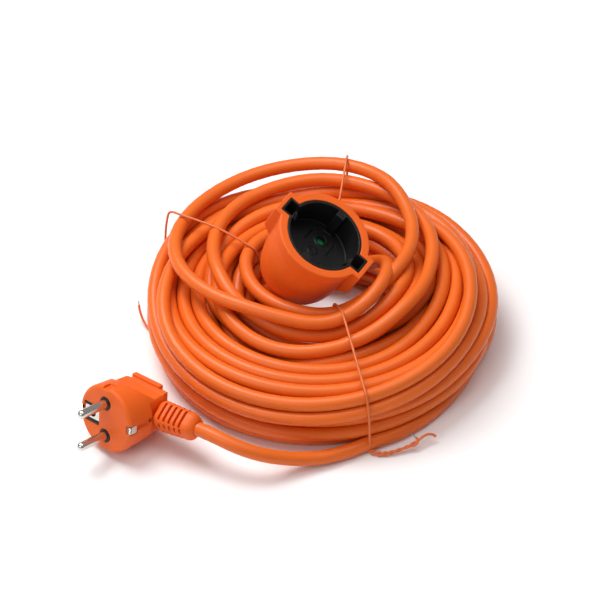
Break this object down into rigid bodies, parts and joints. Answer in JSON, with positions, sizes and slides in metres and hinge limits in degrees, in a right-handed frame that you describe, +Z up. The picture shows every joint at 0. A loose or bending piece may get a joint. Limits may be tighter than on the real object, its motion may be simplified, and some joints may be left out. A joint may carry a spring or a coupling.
{
  "type": "extension cord",
  "caption": "Coiled orange three-core extension cord bound with wire ties, with an angled earthed plug and an earthed shuttered coupler socket.",
  "frame": {"origin": "centre of the whole object's box, on the plane that the coil rests on", "axes": "+Z up from the plane that the coil lies on; +X to the right and +Y away, seen from the side of the plug's lead; the plug is at -X -Y"},
  "size_m": [0.2224, 0.2123, 0.0902],
  "materials": {
    "orange_cable": "semi-gloss soft PVC",
    "orange_pvc": "moulded soft PVC, satin",
    "black_polyamide": "satin moulded",
    "green_shutter": "moulded",
    "nickel_plate": "nickel-plated brass",
    "brass": "bare stamped strip",
    "spring_steel": "drawn wire",
    "brown_core": "PVC insulation",
    "blue_core": "PVC insulation",
    "green_yellow_core": "PVC insulation",
    "orange_tie_wire": "plastic-coated wire"
  },
  "bodies": {
    "root": {"cable_coil": "orange_cable", "plug_lead": "orange_cable", "socket_lead": "orange_cable", "tie_front": "orange_tie_wire", "tie_left": "orange_tie_wire", "tie_back": "orange_tie_wire", "plug_body": "orange_pvc", "plug_strain_relief": "orange_pvc", "plug_pin_bridge": "black_polyamide", "plug_line_pin": "nickel_plate", "plug_neutral_pin": "nickel_plate", "plug_earth_strip": "nickel_plate", "plug_earth_socket": "nickel_plate", "plug_line_crimp": "brass", "plug_neutral_crimp": "brass", "plug_earth_crimp": "brass", "plug_line_core": "brown_core", "plug_neutral_core": "blue_core", "plug_earth_core": "green_yellow_core", "socket_housing": "orange_pvc", "socket_strain_relief": "orange_pvc", "socket_insert": "black_polyamide", "socket_contact_carrier": "black_polyamide", "socket_shutter_spring": "spring_steel", "socket_line_contact": "brass", "socket_neutral_contact": "brass", "socket_earth_bracket": "nickel_plate", "socket_line_crimp": "brass", "socket_neutral_crimp": "brass", "socket_earth_crimp": "brass", "socket_line_core": "brown_core", "socket_neutral_core": "blue_core", "socket_earth_core": "green_yellow_core"},
    "shutter": {"socket_shutter": "green_shutter"},
    "earth_clip_left": {"socket_earth_clip_left": "nickel_plate"},
    "earth_clip_right": {"socket_earth_clip_right": "nickel_plate"}
  },
  "joints": [
    {"name": "shutter_turn", "type": "hinge", "parent": "root", "child": "shutter", "pos_m": [0.00863, 0.00557, 0.05697], "axis": [0.3905, -0.2795, 0.8771], "range_deg": [0, 45], "stiffness_Nm_per_rad": 0.002, "deforming": ["socket_shutter_spring"]},
    {"name": "earth_clip_left_flex", "type": "hinge", "parent": "root", "child": "earth_clip_left", "pos_m": [-0.00753, 0.01477, 0.06401], "axis": [-0.5097, -0.859, -0.0469], "range_deg": [0, 4], "stiffness_Nm_per_rad": 0.2},
    {"name": "earth_clip_right_flex", "type": "hinge", "parent": "root", "child": "earth_clip_right", "pos_m": [0.02268, -0.00213, 0.04518], "axis": [0.5097, 0.859, 0.0469], "range_deg": [0, 4], "stiffness_Nm_per_rad": 0.2}
  ]
}
